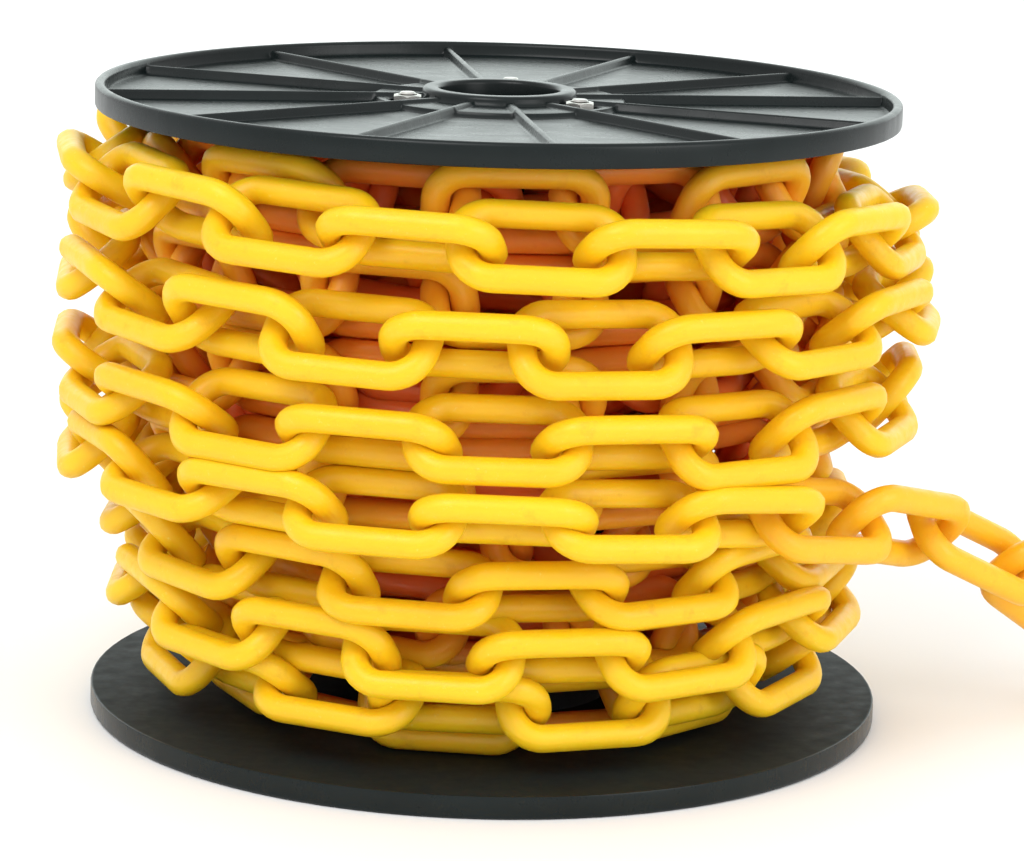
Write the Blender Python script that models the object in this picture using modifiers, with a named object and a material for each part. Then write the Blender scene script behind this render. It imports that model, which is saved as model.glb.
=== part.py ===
"""Reel of plastic barrier chain: two ribbed flanges on a barrel, bolted together, wound with chain.

The reel stands on its lower flange. The origin is on the reel's axis at the bottom face, +Z up.
The free end of the chain leaves the winding as separate links, each hinged on the one before it.
"""

import math

import bmesh
import bpy
from mathutils import Matrix, Vector

MM = 0.001
GAP = 0.3 * MM  # clearance between pieces that touch

# Reel
REEL_HEIGHT = 190 * MM
FLANGE_RADIUS = 120 * MM
RIM_HEIGHT = 7 * MM
RIM_WIDTH = 3 * MM
RIM_EDGE = 0.8 * MM
WEB_THICKNESS = 2.6 * MM
BORE_RADIUS = 18 * MM
COLLAR_RADIUS = 23 * MM
BOSS_RADIUS = 37.5 * MM
BOSS_HEIGHT = 4.2 * MM
PAD_DEPTH = 4 * MM  # thick hub pad on the chain side, inside the barrel
SPIGOT_DEPTH = 12 * MM
SPIGOT_WALL = 3.2 * MM
BARREL_RADIUS = 40 * MM
BARREL_WALL = 3 * MM
RIB_COUNT = 12
RIB_THICKNESS = 2.4 * MM
RIB_TOP = 6.2 * MM
FLANGE_TURN = math.radians(8.5)  # the ribs stand a little off the front

# Tie bolts
BOLT_COUNT = 3
BOLT_CIRCLE = 29.5 * MM
BOLT_TURN = math.radians(-45)  # from a rib to the first bolt, midway between two ribs
BOLT_RADIUS = 2.5 * MM
HOLE_RADIUS = BOLT_RADIUS + GAP
POCKET_RADIUS = 6 * MM
WASHER_RADIUS = 5 * MM
WASHER_THICKNESS = 1 * MM
HEX_ACROSS_FLATS = 8 * MM
HEAD_HEIGHT = 3.4 * MM
NUT_HEIGHT = 4 * MM
THREAD_BEYOND_NUT = 0.8 * MM

# Chain
WIRE = 8 * MM
LINK_LENGTH = 52 * MM
LINK_WIDTH = 30 * MM
CROWN_REACH = (LINK_LENGTH - WIRE) / 2  # link's centre to the centre of its end bar
NEAR_REACH = CROWN_REACH - WIRE - GAP  # bar of the link before to this link's centre
PITCH = CROWN_REACH + NEAR_REACH

# Winding: layers as (inner radius, outer radius) in millimetres
FLOOR_OF_WINDING = RIM_HEIGHT + 1 * MM
TOP_OF_WINDING = REEL_HEIGHT - RIM_HEIGHT - 1 * MM
INNER_LAYERS = ((40.5, 64.0), (64.4, 88.0))
THIRD_LAYER = (88.4, 113.5)
THIRD_LAYER_ROWS = 7
THIRD_LAYER_FOOT = 107 * MM  # outer radius of its lowest row
THIRD_LAYER_FOOT_TOP = 34 * MM
OUTER_LAYER = (114.0, 129.5)
OUTER_LAYER_ROWS = 4
OUTER_LAYER_BOTTOM = 91 * MM
ROW_DIP = 3 * MM  # depth of the groove between two rows

# Free end: the last wound link, and each further link's bend on the bar before it
TAKE_OFF = Vector((95, -71, 77)) * MM
TAKE_OFF_HEADING = math.radians(41.5)
TAKE_OFF_FALL = math.radians(9)
TAKE_OFF_ROLL = math.radians(40)
REST_BENDS_DEG = (6.5, 20, 9, -16, -23, -11.5, 2.5)
TAKE_OFF_ROOM = Vector((120, 60, 40)) * MM  # along, across and up
TAKE_OFF_ROOM_BEHIND = 32 * MM
TAKE_OFF_ROOM_INSIDE = 14 * MM

STEPS_ROUND = 48
STEPS_SMALL = 16
CROWN_POINTS = 7

BLACK = ((0.018, 0.022, 0.022), 0.38, 0.0)
BARREL_GREY = ((0.03, 0.033, 0.035), 0.5, 0.0)
YELLOW = ((0.95, 0.62, 0.02), 0.42, 0.0)
ZINC = ((0.62, 0.62, 0.6), 0.35, 1.0)


def clear_scene():
    for obj in list(bpy.data.objects):
        bpy.data.objects.remove(obj)


def collection(name):
    made = bpy.data.collections.new(name)
    bpy.context.scene.collection.children.link(made)
    return made


def material(name, look):
    colour, roughness, metallic = look
    made = bpy.data.materials.new(name)
    made.use_nodes = True
    shader = made.node_tree.nodes["Principled BSDF"]
    shader.inputs["Base Color"].default_value = (*colour, 1)
    shader.inputs["Roughness"].default_value = roughness
    shader.inputs["Metallic"].default_value = metallic
    return made


def add_object(name, mesh, group):
    obj = bpy.data.objects.new(name, mesh)
    group.objects.link(obj)
    return obj


def baked(obj):
    """The object's mesh with its modifiers applied and its seams merged; the object is removed."""
    bpy.context.view_layer.update()
    graph = bpy.context.evaluated_depsgraph_get()
    mesh = bpy.data.meshes.new_from_object(obj.evaluated_get(graph), depsgraph=graph)
    bpy.data.objects.remove(obj)
    tidy = bmesh.new()
    tidy.from_mesh(mesh)
    bmesh.ops.remove_doubles(tidy, verts=tidy.verts, dist=0.00001)
    tidy.to_mesh(mesh)
    tidy.free()
    mesh.shade_smooth()
    mesh.set_sharp_from_angle(angle=math.radians(30))
    return mesh


def turned(name, outline, steps, group):
    """A closed outline of (radius, height) points turned about Z; it runs down its outer side."""
    mesh = bpy.data.meshes.new(name)
    count = len(outline)
    edges = [(i, (i + 1) % count) for i in range(count)]
    mesh.from_pydata([(radius, 0, height) for radius, height in outline], edges, [])
    obj = add_object(name, mesh, group)
    screw = obj.modifiers.new("turn", "SCREW")
    screw.axis = "Z"
    screw.steps = steps
    screw.render_steps = steps
    screw.use_merge_vertices = True
    screw.merge_threshold = 0.00001
    return obj


def prism(name, radius, bottom, top, sides, group, at=(0, 0)):
    """An upright prism or cylinder between two heights."""
    shape = bmesh.new()
    bmesh.ops.create_cone(
        shape,
        cap_ends=True,
        segments=sides,
        radius1=radius,
        radius2=radius,
        depth=top - bottom,
        matrix=Matrix.Translation((at[0], at[1], (top + bottom) / 2)),
    )
    mesh = bpy.data.meshes.new(name)
    shape.to_mesh(mesh)
    shape.free()
    return add_object(name, mesh, group)


def box(name, size, matrix, group):
    shape = bmesh.new()
    bmesh.ops.create_cube(shape, size=1, matrix=matrix @ Matrix.Diagonal((*size, 1)))
    mesh = bpy.data.meshes.new(name)
    shape.to_mesh(mesh)
    shape.free()
    return add_object(name, mesh, group)


def combine(obj, tool, operation):
    """Adds a Boolean; the tool stays in the file as a hidden wire shape."""
    tool.hide_render = True
    tool.display_type = "WIRE"
    step = obj.modifiers.new(tool.name, "BOOLEAN")
    step.operation = operation
    step.solver = "EXACT"
    step.object = tool


def ring_outline(inner, outer, bottom, top):
    return [(outer, top), (outer, bottom), (inner, bottom), (inner, top)]


def bolt_places():
    """Each bolt's (x, y): between two ribs."""
    for index in range(BOLT_COUNT):
        angle = FLANGE_TURN + BOLT_TURN + math.tau * index / BOLT_COUNT
        yield BOLT_CIRCLE * math.cos(angle), BOLT_CIRCLE * math.sin(angle)


def disc_outline():
    """Section of a flange's disc, outside the hub: its chain side is at 0, its rim's top at RIM_HEIGHT."""
    rim_inside = FLANGE_RADIUS - RIM_WIDTH
    return [
        (rim_inside, RIM_HEIGHT),
        (FLANGE_RADIUS - RIM_EDGE, RIM_HEIGHT),
        (FLANGE_RADIUS, RIM_HEIGHT - RIM_EDGE),
        (FLANGE_RADIUS, RIM_EDGE),
        (FLANGE_RADIUS - RIM_EDGE, 0),
        (BOSS_RADIUS + GAP, 0),
        (BOSS_RADIUS + GAP, WEB_THICKNESS),
        (rim_inside - RIM_EDGE, WEB_THICKNESS),
    ]


def hub_outline():
    """Section of a flange's hub: boss, collar round the bore, and the spigot that enters the barrel."""
    spigot = BARREL_RADIUS - BARREL_WALL - GAP
    return [
        (BOSS_RADIUS, BOSS_HEIGHT),
        (BOSS_RADIUS, 0),
        (spigot, 0),
        (spigot, -SPIGOT_DEPTH),
        (spigot - SPIGOT_WALL, -SPIGOT_DEPTH),
        (spigot - SPIGOT_WALL, -PAD_DEPTH),
        (BORE_RADIUS, -PAD_DEPTH),
        (BORE_RADIUS, RIM_HEIGHT),
        (COLLAR_RADIUS, RIM_HEIGHT),
        (COLLAR_RADIUS, BOSS_HEIGHT),
    ]


def add_ribs(blank, inner, outer, cutters):
    low = WEB_THICKNESS / 2
    size = (outer - inner, RIB_THICKNESS, RIB_TOP - low)
    for index in range(RIB_COUNT):
        place = (
            Matrix.Rotation(math.tau * index / RIB_COUNT, 4, "Z")
            @ Matrix.Translation(((inner + outer) / 2, 0, (RIB_TOP + low) / 2))
        )
        combine(blank, box(f"{blank.name}_rib_{index}", size, place, cutters), "UNION")


def disc_mesh(group, cutters):
    """A flange's disc with its rim and the outer stretch of its ribs."""
    disc = turned("disc", disc_outline(), STEPS_ROUND, group)
    add_ribs(disc, BOSS_RADIUS + 2 * GAP, FLANGE_RADIUS - RIM_WIDTH / 2, cutters)
    return baked(disc)


def hub_mesh(group, cutters):
    """A flange's hub with the inner stretch of its ribs and the bolt pockets between them."""
    hub = turned("hub", hub_outline(), STEPS_ROUND, group)
    add_ribs(hub, COLLAR_RADIUS - 1 * MM, BOSS_RADIUS - GAP, cutters)
    turn = Matrix.Rotation(-FLANGE_TURN, 2)
    for index, place in enumerate(bolt_places()):
        at = turn @ Vector(place)
        hole = prism(
            f"bolt_hole_{index}", HOLE_RADIUS, -2 * PAD_DEPTH, 1 * MM, STEPS_SMALL, cutters, at
        )
        pocket = prism(
            f"bolt_pocket_{index}", POCKET_RADIUS, 0, 2 * RIM_HEIGHT, STEPS_SMALL, cutters, at
        )
        combine(hub, hole, "DIFFERENCE")
        combine(hub, pocket, "DIFFERENCE")
    return baked(hub)


def build_flanges(group, cutters, plastic):
    """Each flange is one moulding, held as two solids: its disc and its hub."""
    turn = Matrix.Rotation(FLANGE_TURN, 4, "Z")
    upper_place = Matrix.Translation((0, 0, REEL_HEIGHT - RIM_HEIGHT)) @ turn
    lower_place = Matrix.Translation((0, 0, RIM_HEIGHT)) @ turn @ Matrix.Scale(-1, 4, (0, 0, 1))
    for name, mesh in (
        ("flange", disc_mesh(group, cutters)),
        ("hub", hub_mesh(group, cutters)),
    ):
        mesh.name = name
        mesh.materials.append(plastic)
        add_object(f"{name}_upper", mesh, group).matrix_world = upper_place
        add_object(f"{name}_lower", mesh, group).matrix_world = lower_place


def build_barrel(group, plastic):
    bottom, top = RIM_HEIGHT + GAP, REEL_HEIGHT - RIM_HEIGHT - GAP
    outline = ring_outline(BARREL_RADIUS - BARREL_WALL, BARREL_RADIUS, bottom, top)
    barrel = turned("barrel_tube", outline, STEPS_ROUND, group)
    barrel.data.materials.append(plastic)
    barrel.data.shade_smooth()


def build_tie_bolts(group, cutters, steel):
    """Long bolts with their heads in the lower flange, and a nut and two washers on each."""
    head_low = RIM_HEIGHT - GAP - WASHER_THICKNESS - GAP - HEAD_HEIGHT
    nut_low = REEL_HEIGHT - head_low - HEAD_HEIGHT
    nut_top = nut_low + NUT_HEIGHT
    hex_radius = HEX_ACROSS_FLATS / 2 / math.cos(math.pi / 6)
    for index, (x, y) in enumerate(bolt_places(), start=1):
        at = (x, y)
        bolt = prism(
            f"tie_bolt_{index}", hex_radius, head_low, head_low + HEAD_HEIGHT, 6, group, at
        )
        shank_low, shank_top = head_low + HEAD_HEIGHT / 2, nut_top + THREAD_BEYOND_NUT
        shank = prism(
            f"shank_{index}", BOLT_RADIUS, shank_low, shank_top, STEPS_SMALL, cutters, at
        )
        combine(bolt, shank, "UNION")
        nut = prism(f"nut_{index}", hex_radius, nut_low, nut_top, 6, group, at)
        thread = prism(
            f"thread_{index}", HOLE_RADIUS, nut_low - GAP, nut_top + GAP, STEPS_SMALL, cutters, at
        )
        combine(nut, thread, "DIFFERENCE")
        lower = RIM_HEIGHT - GAP - WASHER_THICKNESS
        upper = REEL_HEIGHT - RIM_HEIGHT + GAP
        pieces = [bolt, nut]
        for name, low in (("lower", lower), ("upper", upper)):
            outline = ring_outline(HOLE_RADIUS, WASHER_RADIUS, low, low + WASHER_THICKNESS)
            washer = turned(f"washer_{name}_{index}", outline, STEPS_SMALL, group)
            washer.location = (x, y, 0)
            pieces.append(washer)
        for piece in pieces:
            piece.data.materials.append(steel)


def row_outline(inner, outer_at, bottom, top, rows):
    """A layer's section: its outer side swells at each row of chain and dips between rows."""
    height = (top - bottom) / rows
    points = []
    for row in range(rows, 0, -1):
        high = bottom + row * height
        for share, dip in ((0.0, ROW_DIP), (0.28, 0.0), (0.72, 0.0)):
            level = high - share * height
            points.append((outer_at(level) - dip, level))
    points.append((outer_at(bottom) - ROW_DIP, bottom))
    return points + [(inner, bottom), (inner, top)]


def third_layer_radius(level):
    """The third layer's lowest row lies further in than the rows above it."""
    if level < THIRD_LAYER_FOOT_TOP:
        return THIRD_LAYER_FOOT
    return THIRD_LAYER[1] * MM


def outer_layer_radius(level):
    """The outer layer is fullest at three quarters of the reel's height."""
    middle = 142 * MM
    slump = (level - middle) / (50 * MM)
    return OUTER_LAYER[1] * MM - 5 * MM * slump * slump


def link_matrix_at_take_off():
    """Frame of the last wound link: X along it, Y across it, its origin NEAR_REACH before its centre."""
    return (
        Matrix.Translation(TAKE_OFF)
        @ Matrix.Rotation(TAKE_OFF_HEADING, 4, "Z")
        @ Matrix.Rotation(TAKE_OFF_FALL, 4, "Y")
        @ Matrix.Rotation(TAKE_OFF_ROLL, 4, "X")
        @ Matrix.Translation((-NEAR_REACH, 0, 0))
    )


def build_winding(group, cutters, plastic):
    """The wound chain as its layers' outer shapes, with room where the free end leaves."""
    for number, (inner, outer) in enumerate(INNER_LAYERS, start=1):
        outline = ring_outline(inner * MM, outer * MM, FLOOR_OF_WINDING, TOP_OF_WINDING)
        layer = turned(f"chain_layer_{number}", outline, STEPS_ROUND, group)
        layer.data.materials.append(plastic)
        layer.data.shade_smooth()
    inner = THIRD_LAYER[0] * MM
    outline = row_outline(
        inner, third_layer_radius, FLOOR_OF_WINDING, TOP_OF_WINDING, THIRD_LAYER_ROWS
    )
    third = turned("chain_layer_3", outline, STEPS_ROUND, group)
    inner = OUTER_LAYER[0] * MM
    outline = row_outline(
        inner, outer_layer_radius, OUTER_LAYER_BOTTOM, TOP_OF_WINDING, OUTER_LAYER_ROWS
    )
    fourth = turned("chain_layer_4", outline, STEPS_ROUND, group)
    ahead = TAKE_OFF_ROOM.x / 2 - TAKE_OFF_ROOM_BEHIND
    aside = TAKE_OFF_ROOM_INSIDE - TAKE_OFF_ROOM.y / 2
    place = (
        Matrix.Translation(TAKE_OFF)
        @ Matrix.Rotation(TAKE_OFF_HEADING, 4, "Z")
        @ Matrix.Translation((ahead, aside, 0))
    )
    room = box("take_off_room", TAKE_OFF_ROOM, place, cutters)
    for layer in (third, fourth):
        combine(layer, room, "DIFFERENCE")
        layer.data.materials.append(plastic)


def link_mesh(group):
    """One link: a round bar bent into a long ring, its near pivot at the origin."""
    reach = (LINK_WIDTH - WIRE) / 2
    straight = CROWN_REACH - reach
    points = []
    for side in (1, -1):
        for step in range(CROWN_POINTS):
            angle = side * math.pi / 2 - math.pi * step / (CROWN_POINTS - 1)
            points.append(
                (NEAR_REACH + side * straight + reach * math.cos(angle), reach * math.sin(angle))
            )
    data = bpy.data.curves.new("link_path", "CURVE")
    data.dimensions = "3D"
    data.bevel_depth = WIRE / 2
    data.bevel_resolution = 2
    path = data.splines.new("POLY")
    path.points.add(len(points) - 1)
    for point, (x, y) in zip(path.points, points, strict=True):
        point.co = (x, y, 0, 1)
    path.use_cyclic_u = True
    mesh = baked(add_object("link_path", data, group))
    bpy.data.curves.remove(data)
    mesh.name = "link"
    return mesh


def build_free_end(group, plastic):
    """The last wound link and the free links, each placed by its bend on the bar before it."""
    mesh = link_mesh(group)
    mesh.materials.append(plastic)
    place = link_matrix_at_take_off()
    take_off = add_object("chain_link_take_off", mesh, group)
    take_off.matrix_world = place
    quarter = -math.pi / 2
    for number, bend in enumerate(REST_BENDS_DEG, start=1):
        place = (
            place
            @ Matrix.Translation((PITCH, 0, 0))
            @ Matrix.Rotation(math.radians(bend), 4, "Y")
            @ Matrix.Rotation(quarter, 4, "X")
        )
        link = add_object(f"chain_link_{number}", mesh, group)
        link.matrix_world = place
        quarter = -quarter


def main():
    clear_scene()
    parts = collection("chain_reel")
    cutters = collection("cutters")
    black = material("moulded_black", BLACK)
    yellow = material("moulded_yellow", YELLOW)
    build_flanges(parts, cutters, black)
    build_barrel(parts, material("barrel_grey", BARREL_GREY))
    build_tie_bolts(parts, cutters, material("zinc_plated_steel", ZINC))
    build_winding(parts, cutters, yellow)
    build_free_end(parts, yellow)


main()
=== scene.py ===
"""Finished look of the plastic chain reel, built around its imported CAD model.

The wound chain is made link by link along one path. The path starts on the barrel, goes up and
down the reel in four layers, and ends in the link from which the free end hangs.
"""

import math
import random

import bmesh
import bpy
from mathutils import Matrix, Vector


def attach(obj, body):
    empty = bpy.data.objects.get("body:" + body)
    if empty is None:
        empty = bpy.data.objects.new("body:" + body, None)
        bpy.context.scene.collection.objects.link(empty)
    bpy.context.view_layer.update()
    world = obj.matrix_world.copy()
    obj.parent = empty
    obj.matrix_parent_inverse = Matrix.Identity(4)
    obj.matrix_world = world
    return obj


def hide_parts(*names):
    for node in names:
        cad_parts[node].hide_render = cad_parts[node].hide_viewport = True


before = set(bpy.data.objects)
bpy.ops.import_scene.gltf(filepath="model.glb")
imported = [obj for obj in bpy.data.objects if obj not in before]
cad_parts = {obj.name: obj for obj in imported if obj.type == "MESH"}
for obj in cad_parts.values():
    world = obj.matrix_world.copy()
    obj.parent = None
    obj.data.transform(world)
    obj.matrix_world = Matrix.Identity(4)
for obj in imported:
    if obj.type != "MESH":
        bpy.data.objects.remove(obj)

MM = 0.001

# Reel, as in the CAD model
REEL_HEIGHT = 190 * MM
FLANGE_RADIUS = 120 * MM
RIM_HEIGHT = 7 * MM
RIM_WIDTH = 3 * MM
WEB_THICKNESS = 2.6 * MM
BORE_RADIUS = 18 * MM
COLLAR_RADIUS = 23 * MM
BOSS_RADIUS = 37.5 * MM
BOSS_HEIGHT = 4.2 * MM
PAD_DEPTH = 4 * MM
SPIGOT_RADIUS = 36.7 * MM
SPIGOT_WALL = 3.2 * MM
SPIGOT_DEPTH = 12 * MM
RIB_COUNT = 12
FLANGE_TURN = math.radians(8.5)  # the ribs stand a little off the front
BOLT_COUNT = 3
BOLT_CIRCLE = 29.5 * MM
BOLT_TURN = math.radians(-45)  # from a rib to the first bolt, midway between two ribs
BOLT_RADIUS = 2.5 * MM
HOLE_RADIUS = 2.8 * MM
POCKET_RADIUS = 6 * MM
WASHER_RADIUS = 5 * MM
WASHER_THICKNESS = 1 * MM
HEX_RADIUS = 4 * MM / math.cos(math.pi / 6)
HEAD_HEIGHT = 3.4 * MM
NUT_HEIGHT = 4 * MM
THREAD_BEYOND_NUT = 0.8 * MM
GAP = 0.3 * MM  # clearance between pieces that touch

# Finer shape of the flanges and fasteners, which the CAD model leaves out
RIB_TOP = 5.3 * MM  # the CAD's square ribs are 0.9 mm taller
RIB_FOOT = 2.2 * MM  # half a rib's width where its fillets end
COLUMNS_BETWEEN_RIBS = 8
FLANGE_EDGE = 0.8 * MM
FLANGE_FILLET = 1.1 * MM
FLANGE_CROWN = 1.3 * MM  # rounding of the rim's and the collar's top edges
WEB_RINGS = (52 * MM, 70 * MM, 90 * MM, 105 * MM)
UNDERSIDE_RINGS = (90 * MM, 60 * MM)
POCKET_FILLET = 0.4 * MM
POCKET_FLARE = 0.5 * MM
ROUND_STEPS = 48
WASHER_STEPS = 64
WASHER_EDGE = 0.15 * MM
HEX_CHAMFER = 0.45 * MM
HEX_LEAST_DROP = 0.05 * MM
HEX_FLAT_SHARE = 0.92  # how far out the flat part of a hexagon's end face goes
THREAD_LENGTH = 14 * MM
THREAD_PITCH = 0.8 * MM
THREAD_DEPTH = 0.35 * MM
THREAD_POINT = 0.5 * MM
PINHOLE = 0.02 * MM  # where a turned shape comes to its axis
CUTTER_PINHOLE = 0.01 * MM
ON_FACE = 0.01 * MM  # how near a point is to a face that it lies on

# Chain
WIRE_RADIUS = 4 * MM
CROWN_REACH = 22 * MM  # link's centre to the centre of its end bar
SIDE_REACH = 11 * MM  # link's centre to the centre of its side bar
CORNER_RADIUS = 8.5 * MM
CORNER_STEPS = 8
BAR_SIDES = 16
SEAM_HEIGHT = 0.16 * MM
NEAR_REACH = 13.7 * MM  # bar of the link before to this link's centre
PITCH = CROWN_REACH + NEAR_REACH
TAKE_OFF = Vector((95, -71, 77)) * MM
TAKE_OFF_HEADING = math.radians(41.5)
TAKE_OFF_FALL = math.radians(9)
TAKE_OFF_ROLL = math.radians(40)
REST_BENDS_DEG = (6.5, 20, 9, -16, -23, -11.5, 2.5)

# The wound chain's path, from the take-off back to the barrel. Each stop has its angle round the
# reel in degrees, and the links' radius, height, roll and spacing there, in millimetres and degrees.
OUTER_STOPS = (
    (-36.77, 118.6, 77, 40, 35.2),
    (-54, 118.3, 83, 42, 35.2),
    (-90, 118, 86.5, 40, 35.2),
    (-180, 117.5, 84.5, 40, 35.2),
    (-270, 118, 89, 40, 35.2),
    (-360, 118, 103, 40, 35.2),
    (-450, 118, 107.5, 40, 35.9),
    (-540, 118, 107, 40, 35.9),
    (-630, 118, 114, 40, 35.9),
    (-700, 119, 127, 40, 35.9),
    (-724, 122.5, 131, 40, 35.9),
    (-750, 118.5, 132.5, 40, 35.2),
    (-810, 118, 134, 40, 34.3),
    (-860, 118, 135, 40, 34.3),
    (-900, 118, 138, 40, 34.3),
    (-1080, 118, 154, 40, 34.3),
    (-1170, 118, 162, 40, 35.2),
    (-1215, 118, 164, 40, 35.2),
    (-1250, 117.5, 165.5, 40, 35.2),
    (-1290, 114, 168, 40, 35.2),
)
THIRD_STOPS = (
    (-1400, 95.6, 168.5, 57, 35.2),
    (-1590, 95.6, 168.5, 57, 35.2),
    (-1700, 95.6, 143, 57, 35.2),
    (-1950, 95.6, 142, 57, 35.2),
    (-2060, 95.6, 117, 57, 35.2),
    (-2310, 95.6, 115, 57, 35.2),
    (-2430, 95.6, 92, 57, 35.2),
    (-2610, 95.6, 89, 57, 35.2),
    (-2710, 95.6, 85, 57, 35.2),
    (-2790, 96, 71, 52, 35.2),
    (-2860, 97, 64, 48, 35.2),
    (-2920, 98.5, 61.5, 44, 35.2),
    (-2980, 103, 62, 40, 35.2),
    (-3060, 103, 62.5, 40, 35.2),
    (-3200, 102, 43, 40, 35.2),
    (-3420, 101, 42, 40, 35.2),
    (-3540, 94, 28, 42, 35.2),
    (-3790, 93.5, 27, 42, 35.2),
)
SECOND_STOPS = (
    (-3900, 77, 22, 55, 35.2),
    (-4100, 76, 22, 57, 35.2),
    (-6134, 76, 168, 57, 35.2),
    (-6332, 76, 168, 57, 35.2),
)
FIRST_STOPS = (
    (-6440, 53.5, 170, 40, 35.2),
    (-6728, 53.5, 170, 40, 35.2),
    (-9176, 53.5, 19.8, 40, 35.2),
    (-9392, 53.5, 19.8, 40, 35.2),
)
LAYERS = (OUTER_STOPS, THIRD_STOPS, SECOND_STOPS, FIRST_STOPS)
LINKS_PER_PIECE = 21
LOOSENESS = 1.1 * MM
MOST_RISE = 0.4  # as a share of the looseness: links settle down more than they rise
ROLL_LOOSENESS = math.radians(12)
LONGEST_STEP_DEG = 80.0  # no two links in a row are further apart round the reel
HALVINGS = 28
BARE_END_DEG = 60  # the path's last stretch on the barrel, left without links
WINDING_SEED = 36
WINDING_TONE_SEED = 11
FREE_END_TONE_SEED = 23

# The winding's outer face, as (height, radius), and how far in from it the links' painted shade begins
# and is full
OUTER_FACE = ((0, 106), (34, 107), (40, 113), (70, 115), (86, 128), (190, 129))
SUNLIT_DEPTH = 19 * MM
SHADED_DEPTH = 42 * MM
FREE_END_PAINTED_SHADE = 0.2  # painted shade on the free end's links, making them a little redder than the winding's outer links

# Floor, lights as (name, place, what it faces, (width, height), watts, colour), and camera
FLOOR_WIDTH = 10
WHITE = (1.0, 1.0, 1.0)
COOL_WHITE = (0.84, 1.0, 0.96)
LIGHTS = (
    ("key", (-0.6, -1.1, 1.5), (0, 0, 0.1), (0.9, 0.9), 13, WHITE),
    ("fill", (1.3, -1.2, 0.8), (0, 0, 0.1), (1.0, 1.0), 8.5, WHITE),
    ("rear", (0.2, 2.2, 0.95), (0, 0, 0.19), (4.0, 1.5), 20, COOL_WHITE),
)
SKY_STRENGTH = 1.0
CAMERA_AT = Vector((0, -1.1645, 0.3351))
CAMERA_TARGET = Vector((0.0068, 0, 0.0855))
CAMERA_ROLL = math.radians(1.73)
CAMERA_LENS = 137.85
CAMERA_SENSOR = 36

# Colours, linear
YELLOW = (0.87, 0.50, 0.006)
LIGHT_YELLOW = (0.89, 0.58, 0.010)
FLOW_YELLOW = (0.88, 0.55, 0.006)
SCUFF_YELLOW = (0.92, 0.76, 0.2)
GRIME_BROWN = (0.55, 0.25, 0.015)
# painted shade: the orange that links deep in the winding, and the free end, are tinted towards
PAINTED_SHADE_ORANGE = (0.97, 0.20, 0.04)
BLACK = (0.003, 0.006, 0.006)
SOFT_BLACK = (0.007, 0.012, 0.012)
DUST_GREY = (0.10, 0.115, 0.12)
TUBE_DARK = (0.022, 0.024, 0.026)
TUBE_LIGHT = (0.05, 0.053, 0.056)
ZINC_DARK = (0.46, 0.46, 0.44)
ZINC_LIGHT = (0.66, 0.65, 0.60)
FLOOR_DARK = (0.90, 0.90, 0.90)
FLOOR_LIGHT = (0.93, 0.93, 0.93)


def add_object(name, mesh, material):
    obj = bpy.data.objects.new(name, mesh)
    bpy.context.scene.collection.objects.link(obj)
    mesh.materials.append(material)
    return obj


def mesh_from(name, points, faces):
    mesh = bpy.data.meshes.new(name)
    mesh.from_pydata([tuple(point) for point in points], [], faces)
    mesh.update()
    return mesh


def grid_faces(rings, ring_points):
    """Faces between rings of points, each ring joined to the next and the last to the first."""
    faces = []
    for ring in range(rings):
        ahead = (ring + 1) % rings
        for place in range(ring_points):
            beside = (place + 1) % ring_points
            faces.append(
                (
                    ring * ring_points + place,
                    ahead * ring_points + place,
                    ahead * ring_points + beside,
                    ring * ring_points + beside,
                )
            )
    return faces


def add_point_numbers(mesh, name, values):
    mesh.attributes.new(name, "FLOAT", "POINT").data.foreach_set("value", values)


def smoothed(mesh, degrees=35):
    mesh.shade_smooth()
    mesh.set_sharp_from_angle(angle=math.radians(degrees))
    return mesh


# ---------------------------------------------------------------- materials


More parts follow.
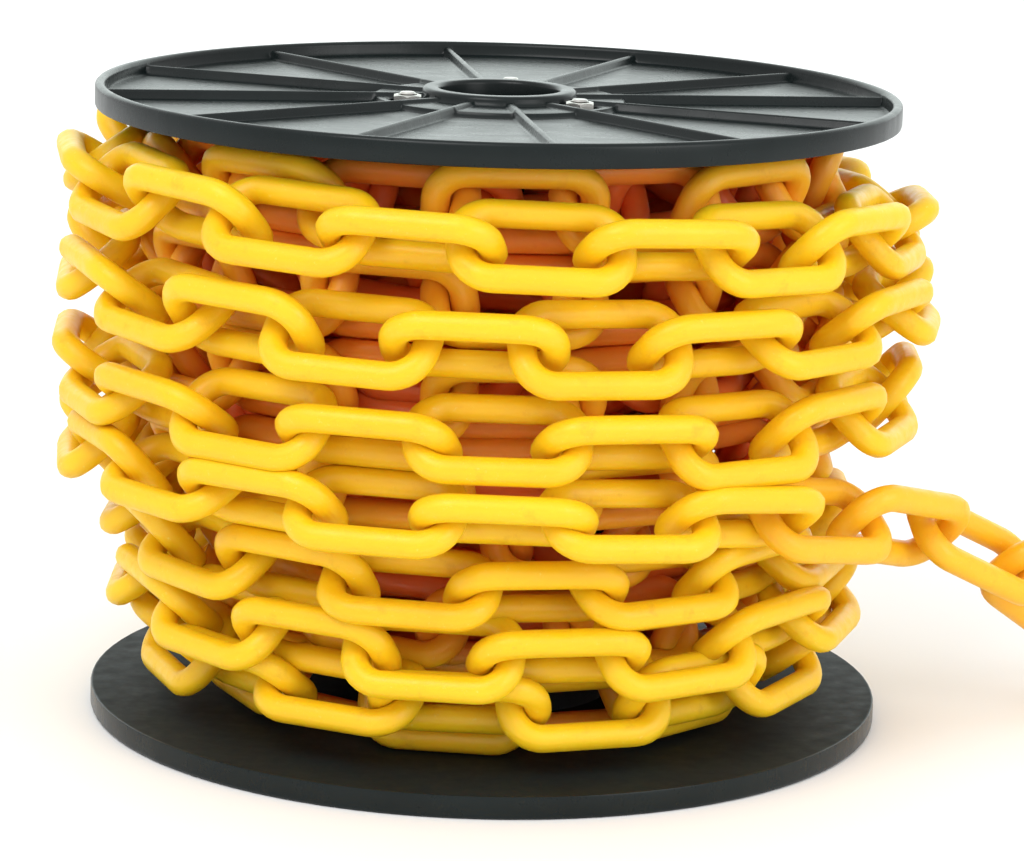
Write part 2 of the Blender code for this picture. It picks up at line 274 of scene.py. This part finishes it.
class Nodes:
    """A new Principled material and short ways to add and join its nodes."""

    def __init__(self, name):
        self.material = bpy.data.materials.new(name)
        self.material.use_nodes = True
        self.tree = self.material.node_tree
        self.shader = self.tree.nodes["Principled BSDF"]

    def add(self, kind, **values):
        node = self.tree.nodes.new(kind)
        for key, value in values.items():
            if hasattr(node, key):
                setattr(node, key, value)
            else:
                node.inputs[key.replace("_", " ")].default_value = value
        return node

    def join(self, output, target):
        self.tree.links.new(output, target)

    def feed(self, socket, output):
        """Joins a node's output to one of the shader's sockets."""
        self.join(output, self.shader.inputs[socket])

    def fix(self, socket, value):
        """Sets one of the shader's own sockets, for what is the same all over."""
        self.shader.inputs[socket].default_value = value

    def attribute(self, name):
        return self.add("ShaderNodeAttribute", attribute_name=name).outputs["Fac"]

    def position(self):
        return self.add("ShaderNodeNewGeometry").outputs["Position"]

    def noise(self, scale, detail=3.0, roughness=0.55, stretch=None):
        node = self.add("ShaderNodeTexNoise", Scale=scale, Detail=detail, Roughness=roughness)
        place = self.position()
        if stretch is not None:
            mapping = self.add("ShaderNodeMapping")
            mapping.inputs["Scale"].default_value = stretch
            self.join(place, mapping.inputs["Vector"])
            place = mapping.outputs["Vector"]
        self.join(place, node.inputs["Vector"])
        return node.outputs["Fac"]

    def ramp(self, source, low, high, low_value, high_value):
        node = self.add("ShaderNodeMapRange")
        node.inputs["From Min"].default_value = low
        node.inputs["From Max"].default_value = high
        node.inputs["To Min"].default_value = low_value
        node.inputs["To Max"].default_value = high_value
        self.join(source, node.inputs["Value"])
        return node.outputs["Result"]

    def mix(self, factor, first, second):
        """Mixes two colours. Each is a colour or another node's output."""
        node = self.add("ShaderNodeMix", data_type="RGBA")
        self.join(factor, node.inputs["Factor"])
        for value, socket in ((first, node.inputs[6]), (second, node.inputs[7])):
            if isinstance(value, tuple):
                socket.default_value = (*value, 1)
            else:
                self.join(value, socket)
        return node.outputs[2]

    def blend(self, factor, first, second):
        """Goes from one number to another. All three are other nodes' outputs."""
        node = self.add("ShaderNodeMix", data_type="FLOAT")
        for value, socket in zip((factor, first, second), (0, 2, 3)):
            self.join(value, node.inputs[socket])
        return node.outputs[0]

    def bump(self, heights):
        """Chains bumps: each is (height output, distance in metres, strength)."""
        normal = None
        for height, distance, strength in heights:
            node = self.add("ShaderNodeBump", Distance=distance, Strength=strength)
            self.join(height, node.inputs["Height"])
            if normal is not None:
                self.join(normal, node.inputs["Normal"])
            normal = node.outputs["Normal"]
        self.feed("Normal", normal)


def chain_plastic():
    """Bright yellow polyethylene: softly glossy, a little translucent, with scuffs, tone changes and
    painted orange shade on links deep in the winding.
    """
    nodes = Nodes("chain_yellow_plastic")
    base = nodes.mix(nodes.attribute("tone"), YELLOW, LIGHT_YELLOW)
    flow = nodes.ramp(nodes.noise(45, 4), 0.35, 0.7, 0, 1)
    base = nodes.mix(flow, base, FLOW_YELLOW)
    scuffs = nodes.ramp(nodes.noise(700, 7, 0.75), 0.6, 0.7, 0, 0.5)
    base = nodes.mix(scuffs, base, SCUFF_YELLOW)
    grime = nodes.ramp(nodes.noise(130, 6, 0.7), 0.58, 0.76, 0, 0.4)
    base = nodes.mix(grime, base, GRIME_BROWN)
    # painted shade: the deeper a point lies in the winding, the more it turns deep orange
    base = nodes.mix(nodes.attribute("depth"), base, PAINTED_SHADE_ORANGE)
    nodes.feed("Base Color", base)
    nodes.feed("Roughness", nodes.ramp(nodes.noise(260, 5), 0.3, 0.75, 0.3, 0.56))
    nodes.fix("Specular IOR Level", 0.42)
    nodes.fix("Subsurface Weight", 0.5)
    nodes.fix("Subsurface Radius", (1.0, 0.5, 0.1))
    nodes.fix("Subsurface Scale", 4 * MM)
    nodes.bump(
        (
            (nodes.noise(2400, 3), 0.00006, 0.6),
            (nodes.noise(240, 3), 0.0003, 0.6),
        )
    )
    return nodes.material


def flange_plastic():
    """Black recycled polypropylene: glossy flats with faint flow marks, fine grain and hairlines."""
    nodes = Nodes("flange_black_plastic")
    cloud = nodes.ramp(nodes.noise(28, 5, 0.6), 0.3, 0.75, 0, 1)
    base = nodes.mix(cloud, BLACK, SOFT_BLACK)
    dust = nodes.ramp(nodes.noise(900, 6, 0.75), 0.63, 0.78, 0, 0.2)
    base = nodes.mix(dust, base, DUST_GREY)
    nodes.feed("Base Color", base)
    chain_side = nodes.attribute("chain_side")
    streaks = nodes.noise(60, 6, 0.7, stretch=(1, 3, 1))
    rough = nodes.blend(
        chain_side,
        nodes.ramp(streaks, 0.3, 0.75, 0.24, 0.34),
        nodes.ramp(nodes.noise(150, 5), 0.3, 0.75, 0.62, 0.8),
    )
    nodes.feed("Roughness", rough)
    nodes.fix("Specular IOR Level", 0.24)
    nodes.bump(
        (
            (nodes.noise(3200, 3), 0.00003, 0.5),
            (nodes.noise(70, 3), 0.0003, 0.3),
        )
    )
    return nodes.material


def barrel_plastic():
    """Matt dark extruded tube with drawn lines along it."""
    nodes = Nodes("barrel_grey_plastic")
    lines = nodes.noise(500, 4, 0.6, stretch=(1, 1, 0.02))
    nodes.feed("Base Color", nodes.mix(lines, TUBE_DARK, TUBE_LIGHT))
    nodes.feed("Roughness", nodes.ramp(nodes.noise(180, 4), 0.3, 0.7, 0.48, 0.66))
    nodes.bump(((lines, 0.00012, 0.5),))
    return nodes.material


def zinc():
    """Zinc-plated steel: a cloudy passivated skin with fine scratches."""
    nodes = Nodes("fastener_zinc")
    cloud = nodes.ramp(nodes.noise(160, 5, 0.6), 0.3, 0.7, 0, 1)
    nodes.feed("Base Color", nodes.mix(cloud, ZINC_DARK, ZINC_LIGHT))
    nodes.fix("Metallic", 1.0)
    scratches = nodes.noise(1500, 5, 0.7, stretch=(1, 0.15, 1))
    nodes.feed("Roughness", nodes.ramp(scratches, 0.3, 0.7, 0.26, 0.48))
    nodes.bump(((scratches, 0.00004, 0.5),))
    return nodes.material


def floor_paint():
    nodes = Nodes("floor_pale")
    nodes.feed("Base Color", nodes.mix(nodes.noise(1.2, 2), FLOOR_DARK, FLOOR_LIGHT))
    nodes.fix("Roughness", 0.8)
    nodes.fix("Specular IOR Level", 0.2)
    return nodes.material


# ---------------------------------------------------------------- chain


def link_centreline():
    """The middle of the round bar: a rounded rectangle in the link's own plane."""
    points = []
    corners = ((1, 1), (-1, 1), (-1, -1), (1, -1))
    corner_along, corner_across = CROWN_REACH - CORNER_RADIUS, SIDE_REACH - CORNER_RADIUS
    for number, (side, across) in enumerate(corners):
        centre = Vector((side * corner_along, across * corner_across, 0))
        for step in range(CORNER_STEPS + 1):
            angle = math.pi / 2 * (number + step / CORNER_STEPS)
            points.append(centre + CORNER_RADIUS * Vector((math.cos(angle), math.sin(angle), 0)))
        if number % 2 == 0:
            points.append(Vector((0, across * SIDE_REACH, 0)))
    return points


def link_template():
    """Points and faces of one link about its centre: a round bar with a faint moulding seam."""
    line = link_centreline()
    count = len(line)
    points = []
    for index, centre in enumerate(line):
        along = (line[(index + 1) % count] - line[index - 1]).normalized()
        outward = Vector((along.y, -along.x, 0))
        for side in range(BAR_SIDES):
            angle = math.tau * side / BAR_SIDES
            seam = SEAM_HEIGHT if side % (BAR_SIDES // 2) == 0 else 0
            radius = WIRE_RADIUS + seam
            points.append(
                centre + outward * radius * math.cos(angle) + Vector((0, 0, radius * math.sin(angle)))
            )
    return points, grid_faces(count, BAR_SIDES)


def path_values(angle):
    """Radius, height, roll and spacing on the path at an angle, between its two nearest stops."""
    stops = [stop for layer in LAYERS for stop in layer]
    for ahead, behind in zip(stops, stops[1:]):
        if angle >= behind[0]:
            share = min(1, (ahead[0] - angle) / (ahead[0] - behind[0]))
            radius, height, roll, pitch = (
                a + (b - a) * share for a, b in zip(ahead[1:], behind[1:])
            )
            return radius * MM, height * MM, math.radians(roll), pitch * MM
    return None


def path_point(angle):
    radius, height, _, _ = path_values(angle)
    turn = math.radians(angle)
    return Vector((radius * math.cos(turn), radius * math.sin(turn), height))


def angle_one_link_back(angle, spacing):
    """The path angle whose point is one link's spacing from here, found by halving."""
    here = path_point(angle)
    near, far = 0.0, LONGEST_STEP_DEG
    for _ in range(HALVINGS):
        middle = (near + far) / 2
        if (path_point(angle - middle) - here).length < spacing:
            near = middle
        else:
            far = middle
    return angle - near


def winding_angles():
    """Path angles of the wound links, from the take-off back to the barrel."""
    angle = OUTER_STOPS[0][0]
    last = FIRST_STOPS[-1][0]
    angles = []
    while angle > last + BARE_END_DEG:
        angles.append(angle)
        angle = angle_one_link_back(angle, path_values(angle)[3])
    return angles


def winding_links():
    """(path angle, matrix) of each wound link behind the take-off, outermost first."""
    chance = random.Random(WINDING_SEED)
    angles = winding_angles()
    centres = [path_point(angle) for angle in angles]
    links = []
    for index in range(1, len(angles) - 1):
        along = (centres[index - 1] - centres[index + 1]).normalized()
        out = Vector((centres[index].x, centres[index].y, 0))
        out = (out - along * out.dot(along)).normalized()
        up = along.cross(out)
        if up.z < 0:
            up = -up
        side = 1 if index % 2 else -1
        roll = side * path_values(angles[index])[2] + chance.uniform(-1, 1) * ROLL_LOOSENESS
        outward = out * chance.uniform(-1, 1) * LOOSENESS
        shift = outward + up * chance.uniform(-1, MOST_RISE) * LOOSENESS
        across = out * math.cos(roll) + up * math.sin(roll)
        normal = along.cross(across)
        turn = Matrix((along, across, normal)).transposed().to_4x4()
        links.append((angles[index], Matrix.Translation(centres[index] + shift) @ turn))
    return links


def outer_face_radius(height):
    for (low, near), (high, far) in zip(OUTER_FACE, OUTER_FACE[1:]):
        if height <= high * MM:
            share = (height / MM - low) / (high - low)
            return (near + (far - near) * share) * MM
    return OUTER_FACE[-1][1] * MM


def depth_in_winding(point):
    """How much painted shade a point gets: 0 near the winding's outer face, rising to 1 where little
    light gets in.
    """
    depth = outer_face_radius(point.z) - math.hypot(point.x, point.y)
    return min(1, max(0, (depth - SUNLIT_DEPTH) / (SHADED_DEPTH - SUNLIT_DEPTH)))


def chain_mesh(name, matrices, template, chance, least_painted_shade=0.0):
    """Several links as one mesh. Its points hold their "depth", which sets their painted shade, and
    their link's own "tone".
    """
    points, faces, tones = [], [], []
    for matrix in matrices:
        first = len(points)
        points += [matrix @ point for point in template[0]]
        faces += [tuple(first + corner for corner in face) for face in template[1]]
        tones += [chance.random()] * len(template[0])
    mesh = mesh_from(name, points, faces)
    add_point_numbers(mesh, "tone", tones)
    depths = [max(least_painted_shade, depth_in_winding(point)) for point in points]
    add_point_numbers(mesh, "depth", depths)
    return smoothed(mesh)


def build_winding(template, plastic):
    """The wound links, joined by stretches of about a turn that replace their layer's solid."""
    chance = random.Random(WINDING_TONE_SEED)
    links = winding_links()
    for number, stops in enumerate(LAYERS):
        node = f"chain_layer_{len(LAYERS) - number}"
        high = stops[0][0] if number else 0
        low = LAYERS[number + 1][0][0] if number + 1 < len(LAYERS) else -math.inf
        mine = [matrix for angle, matrix in links if low < angle <= high]
        for piece, start in enumerate(range(0, len(mine), LINKS_PER_PIECE), start=1):
            name = f"{node}_turn_{piece}"
            mesh = chain_mesh(name, mine[start : start + LINKS_PER_PIECE], template, chance)
            obj = add_object(name, mesh, plastic)
            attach(obj, "reel")
            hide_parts(node)


def free_end_matrices():
    """Centre frames of the take-off link and of each free link after it."""
    place = (
        Matrix.Translation(TAKE_OFF)
        @ Matrix.Rotation(TAKE_OFF_HEADING, 4, "Z")
        @ Matrix.Rotation(TAKE_OFF_FALL, 4, "Y")
        @ Matrix.Rotation(TAKE_OFF_ROLL, 4, "X")
        @ Matrix.Translation((-NEAR_REACH, 0, 0))
    )
    to_centre = Matrix.Translation((NEAR_REACH, 0, 0))
    yield place @ to_centre
    quarter = -math.pi / 2
    for bend in REST_BENDS_DEG:
        place = (
            place
            @ Matrix.Translation((PITCH, 0, 0))
            @ Matrix.Rotation(math.radians(bend), 4, "Y")
            @ Matrix.Rotation(quarter, 4, "X")
        )
        quarter = -quarter
        yield place @ to_centre


def build_free_end(template, plastic):
    chance = random.Random(FREE_END_TONE_SEED)
    for number, matrix in enumerate(free_end_matrices()):
        node = f"chain_link_{number}" if number else "chain_link_take_off"
        body = f"link_{number}" if number else "reel"
        # painted shade: the free end's links are tinted at least this far towards deep orange
        mesh = chain_mesh(f"{node}_moulded", [matrix], template, chance, FREE_END_PAINTED_SHADE)
        obj = add_object(f"{node}_moulded", mesh, plastic)
        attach(obj, body)
        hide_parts(node)


# ---------------------------------------------------------------- flanges


def top_edge(radius, side):
    """Section points from an upright face over its rounded top edge. The solid is on the given side."""
    shares = ((0, 1), (0.12, 0.5), (0.5, 0.12), (1, 0))
    return [
        (radius + side * FLANGE_CROWN * along, RIM_HEIGHT - FLANGE_CROWN * down, False)
        for along, down in shares
    ]


def flange_rows():
    """Closed section as (radius, height, ribbed): up the bore, out over the ribbed face, back under."""
    rim_inside = FLANGE_RADIUS - RIM_WIDTH
    edge, fillet = FLANGE_EDGE, FLANGE_FILLET
    return [
        (BORE_RADIUS, -PAD_DEPTH + edge, False),
        *top_edge(BORE_RADIUS, 1),
        *reversed(top_edge(COLLAR_RADIUS, -1)),
        (COLLAR_RADIUS + 0.1 * MM, BOSS_HEIGHT + 0.6 * MM, True),
        (COLLAR_RADIUS + 0.7 * MM, BOSS_HEIGHT, True),
        (BOSS_RADIUS - edge, BOSS_HEIGHT, True),
        (BOSS_RADIUS - 0.25 * edge, BOSS_HEIGHT - 0.2 * edge, True),
        (BOSS_RADIUS + 0.25 * edge, WEB_THICKNESS + 0.6 * MM, True),
        (BOSS_RADIUS + fillet, WEB_THICKNESS, True),
        *((ring, WEB_THICKNESS, True) for ring in WEB_RINGS),
        (rim_inside - 1.6 * fillet, WEB_THICKNESS, True),
        (rim_inside - 0.45 * fillet, WEB_THICKNESS + 0.35 * MM, True),
        (rim_inside - 0.1 * fillet, WEB_THICKNESS + fillet, True),
        *top_edge(rim_inside, 1),
        *reversed(top_edge(FLANGE_RADIUS, -1)),
        (FLANGE_RADIUS, edge, False),
        (FLANGE_RADIUS - 0.25 * edge, 0.25 * edge, False),
        (FLANGE_RADIUS - edge, 0, False),
        *((ring, 0, False) for ring in UNDERSIDE_RINGS),
        (SPIGOT_RADIUS + edge, 0, False),
        (SPIGOT_RADIUS, -edge, False),
        (SPIGOT_RADIUS, -SPIGOT_DEPTH + edge, False),
        (SPIGOT_RADIUS - edge, -SPIGOT_DEPTH, False),
        (SPIGOT_RADIUS - SPIGOT_WALL, -SPIGOT_DEPTH, False),
        (SPIGOT_RADIUS - SPIGOT_WALL, -PAD_DEPTH, False),
        (BORE_RADIUS + edge, -PAD_DEPTH, False),
    ]


def flange_columns():
    """Across one rib's sector: (offset from the rib's middle or None, share of the rest, lift)."""
    half = (
        (0.35 * MM, 0.98),
        (0.7 * MM, 0.9),
        (0.95 * MM, 0.75),
        (1.3 * MM, 0.2),
        (1.65 * MM, 0.05),
        (RIB_FOOT, 0.0),
    )
    left = [(-offset, None, lift) for offset, lift in reversed(half)]
    right = [(offset, None, lift) for offset, lift in half]
    rest = [(None, step / COLUMNS_BETWEEN_RIBS, 0.0) for step in range(1, COLUMNS_BETWEEN_RIBS)]
    return left + [(0.0, None, 1.0)] + right + rest


def flange_mesh():
    """One moulding with drafted, filleted ribs, as a grid that follows both the section and the ribs."""
    rows, columns = flange_rows(), flange_columns()
    sector = math.tau / RIB_COUNT
    points = []
    for radius, height, ribbed in rows:
        reach = math.asin(RIB_FOOT / radius)
        for rib in range(RIB_COUNT):
            for offset, share, lift in columns:
                if offset is None:
                    angle = reach + (sector - 2 * reach) * share
                else:
                    angle = math.asin(offset / radius)
                angle += rib * sector
                rise = max(0, RIB_TOP - height) * lift if ribbed else 0
                points.append((radius * math.cos(angle), radius * math.sin(angle), height + rise))
    return mesh_from("flange_grid", points, grid_faces(len(rows), RIB_COUNT * len(columns)))


def bolt_places(turn=FLANGE_TURN):
    for index in range(BOLT_COUNT):
        angle = turn + BOLT_TURN + math.tau * index / BOLT_COUNT
        yield BOLT_CIRCLE * math.cos(angle), BOLT_CIRCLE * math.sin(angle)


def turned_mesh(name, outline, steps, at=(0, 0)):
    """A closed outline of (radius, height) points, turned about an upright axis."""
    points = []
    for step in range(steps):
        angle = math.tau * step / steps
        for radius, height in outline:
            points.append((at[0] + radius * math.cos(angle), at[1] + radius * math.sin(angle), height))
    return mesh_from(name, points, grid_faces(steps, len(outline)))


def pocket_cutter(at):
    """Bolt pocket with a small flare at its mouth, and the bolt's hole below it."""
    bottom, mouth, top = -2 * PAD_DEPTH, BOSS_HEIGHT, 3 * RIM_HEIGHT
    outline = (
        (CUTTER_PINHOLE, bottom),
        (HOLE_RADIUS, bottom),
        (HOLE_RADIUS, 0),
        (POCKET_RADIUS - POCKET_FILLET, 0),
        (POCKET_RADIUS, POCKET_FILLET),
        (POCKET_RADIUS, mouth - POCKET_FLARE),
        (POCKET_RADIUS + POCKET_FLARE, mouth),
        (POCKET_RADIUS + POCKET_FLARE, top),
        (CUTTER_PINHOLE, top),
    )
    return turned_mesh("pocket", outline, ROUND_STEPS, at)


def face_outwards(mesh):
    shape = bmesh.new()
    shape.from_mesh(mesh)
    bmesh.ops.recalc_face_normals(shape, faces=shape.faces)
    shape.to_mesh(mesh)
    shape.free()


def cut(mesh, cutters):
    """The mesh less the cutters' meshes."""
    face_outwards(mesh)
    target = bpy.data.objects.new("cut_target", mesh)
    bpy.context.scene.collection.objects.link(target)
    tools = []
    for cutter in cutters:
        face_outwards(cutter)
        tool = bpy.data.objects.new("cut_tool", cutter)
        bpy.context.scene.collection.objects.link(tool)
        tools.append(tool)
        step = target.modifiers.new("cut", "BOOLEAN")
        step.operation = "DIFFERENCE"
        step.solver = "EXACT"
        step.object = tool
    bpy.context.view_layer.update()
    graph = bpy.context.evaluated_depsgraph_get()
    result = bpy.data.meshes.new_from_object(target.evaluated_get(graph), depsgraph=graph)
    for obj in (target, *tools):
        bpy.data.objects.remove(obj)
    return result


def is_on_chain_side(point):
    """True on the flat face that the winding rests on, before the flange is put in its place."""
    return abs(point.z) < ON_FACE and point.xy.length < FLANGE_RADIUS - FLANGE_EDGE / 2


def build_flanges(plastic):
    cutters = [pocket_cutter(place) for place in bolt_places(turn=0)]
    shape = cut(flange_mesh(), cutters)
    chain_side = [1.0 if is_on_chain_side(vertex.co) else 0.0 for vertex in shape.vertices]
    add_point_numbers(shape, "chain_side", chain_side)
    turn = Matrix.Rotation(FLANGE_TURN, 4, "Z")
    upper_place = Matrix.Translation((0, 0, REEL_HEIGHT - RIM_HEIGHT)) @ turn
    lower_place = Matrix.Translation((0, 0, RIM_HEIGHT)) @ turn @ Matrix.Scale(-1, 4, (0, 0, 1))
    for node, place in (("flange_upper", upper_place), ("flange_lower", lower_place)):
        mesh = shape.copy()
        mesh.transform(place)
        if node == "flange_lower":
            mesh.flip_normals()
        smoothed(mesh, 40)
        obj = add_object(f"{node}_moulded", mesh, plastic)
        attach(obj, "reel")
        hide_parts(node, node.replace("flange", "hub"))


# ---------------------------------------------------------------- fasteners


def hexagon_mesh(name, low, high, at, hole=0.0):
    """A hexagon whose corners are turned down at both ends, solid or with a round hole."""
    inner = max(hole, PINHOLE)
    inscribed = HEX_RADIUS * math.cos(math.pi / 6)
    flat = HEX_FLAT_SHARE * inscribed
    points = []
    for step in range(ROUND_STEPS):
        angle = math.tau * step / ROUND_STEPS
        within = (angle + math.pi / 6) % (math.pi / 3) - math.pi / 6
        radius = inscribed / math.cos(within)
        corner_share = (radius - inscribed) / (HEX_RADIUS - inscribed)
        drop = HEX_CHAMFER * corner_share + HEX_LEAST_DROP
        ring = (
            (inner, low),
            (flat, low),
            (radius, low + drop),
            (radius, high - drop),
            (flat, high),
            (inner, high),
        )
        for reach, height in ring:
            points.append((at[0] + reach * math.cos(angle), at[1] + reach * math.sin(angle), height))
    return mesh_from(name, points, grid_faces(ROUND_STEPS, len(ring)))


def thread_outline(low, high):
    """A bolt's shank, with thread ridges over its end."""
    level = high - THREAD_LENGTH
    points = [(PINHOLE, low), (BOLT_RADIUS, low), (BOLT_RADIUS, level)]
    while level < high - THREAD_PITCH:
        points.append((BOLT_RADIUS - THREAD_DEPTH, level + 0.35 * THREAD_PITCH))
        points.append((BOLT_RADIUS, level + 0.85 * THREAD_PITCH))
        level += THREAD_PITCH
    points.append((BOLT_RADIUS - THREAD_POINT, high))
    points.append((PINHOLE, high))
    return points


def joined(name, meshes):
    shape = bmesh.new()
    for mesh in meshes:
        shape.from_mesh(mesh)
    bmesh.ops.recalc_face_normals(shape, faces=shape.faces)
    result = bpy.data.meshes.new(name)
    shape.to_mesh(result)
    shape.free()
    return result


def add_fastener(node, meshes, steel):
    mesh = smoothed(joined(f"{node}_finished", meshes), 30)
    obj = add_object(f"{node}_finished", mesh, steel)
    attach(obj, "reel")
    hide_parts(node)


def washer_outline(low):
    high, edge = low + WASHER_THICKNESS, WASHER_EDGE
    return (
        (HOLE_RADIUS, low + edge),
        (HOLE_RADIUS, high - edge),
        (HOLE_RADIUS + edge, high),
        (WASHER_RADIUS - edge, high),
        (WASHER_RADIUS, high - edge),
        (WASHER_RADIUS, low + edge),
        (WASHER_RADIUS - edge, low),
        (HOLE_RADIUS + edge, low),
    )


def build_fasteners(steel):
    head_low = RIM_HEIGHT - GAP - WASHER_THICKNESS - GAP - HEAD_HEIGHT
    nut_low = REEL_HEIGHT - head_low - HEAD_HEIGHT
    nut_top = nut_low + NUT_HEIGHT
    shank_low, shank_top = head_low + HEAD_HEIGHT / 2, nut_top + THREAD_BEYOND_NUT
    lower, upper = RIM_HEIGHT - GAP - WASHER_THICKNESS, REEL_HEIGHT - RIM_HEIGHT + GAP
    for number, at in enumerate(bolt_places(), start=1):
        head = hexagon_mesh("head", head_low, head_low + HEAD_HEIGHT, at)
        shank = turned_mesh("shank", thread_outline(shank_low, shank_top), ROUND_STEPS, at)
        nut = hexagon_mesh("nut", nut_low, nut_top, at, HOLE_RADIUS)
        add_fastener(f"tie_bolt_{number}", [head, shank], steel)
        add_fastener(f"nut_{number}", [nut], steel)
        for name, low in (("lower", lower), ("upper", upper)):
            washer = turned_mesh("washer", washer_outline(low), WASHER_STEPS, at)
            add_fastener(f"washer_{name}_{number}", [washer], steel)


def finish_barrel(plastic):
    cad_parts["barrel_tube"].material_slots[0].material = plastic


# ---------------------------------------------------------------- scene


def build_floor():
    half = FLOOR_WIDTH / 2
    corners = ((-half, -half, 0), (half, -half, 0), (half, half, 0), (-half, half, 0))
    mesh = mesh_from("floor", corners, [(0, 1, 2, 3)])
    floor = bpy.data.objects.new("floor", mesh)
    bpy.context.scene.collection.objects.link(floor)
    mesh.materials.append(floor_paint())


def aim(obj, place, target):
    turn = (target - place).to_track_quat("-Z", "Y").to_matrix().to_4x4()
    obj.matrix_world = Matrix.Translation(place) @ turn


def add_area_light(name, place, target, size, watts, colour):
    data = bpy.data.lights.new(name, "AREA")
    data.shape = "RECTANGLE"
    data.size, data.size_y = size
    data.energy = watts
    data.color = colour
    light = bpy.data.objects.new(name, data)
    bpy.context.scene.collection.objects.link(light)
    aim(light, Vector(place), Vector(target))


def build_lights():
    for values in LIGHTS:
        add_area_light(*values)
    world = bpy.data.worlds.new("studio")
    bpy.context.scene.world = world
    world.use_nodes = True
    sky = world.node_tree.nodes["Background"]
    sky.inputs["Color"].default_value = (*WHITE, 1)
    sky.inputs["Strength"].default_value = SKY_STRENGTH


def build_camera():
    data = bpy.data.cameras.new("camera")
    data.lens = CAMERA_LENS
    data.sensor_width = CAMERA_SENSOR
    camera = bpy.data.objects.new("camera", data)
    bpy.context.scene.collection.objects.link(camera)
    aim(camera, CAMERA_AT, CAMERA_TARGET)
    camera.matrix_world = camera.matrix_world @ Matrix.Rotation(CAMERA_ROLL, 4, "Z")
    bpy.context.scene.camera = camera
    bpy.context.scene.view_settings.view_transform = "Standard"


def main():
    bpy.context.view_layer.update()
    build_camera()
    build_floor()
    build_lights()
    yellow = chain_plastic()
    template = link_template()
    build_winding(template, yellow)
    build_free_end(template, yellow)
    build_flanges(flange_plastic())
    build_fasteners(zinc())
    finish_barrel(barrel_plastic())


main()
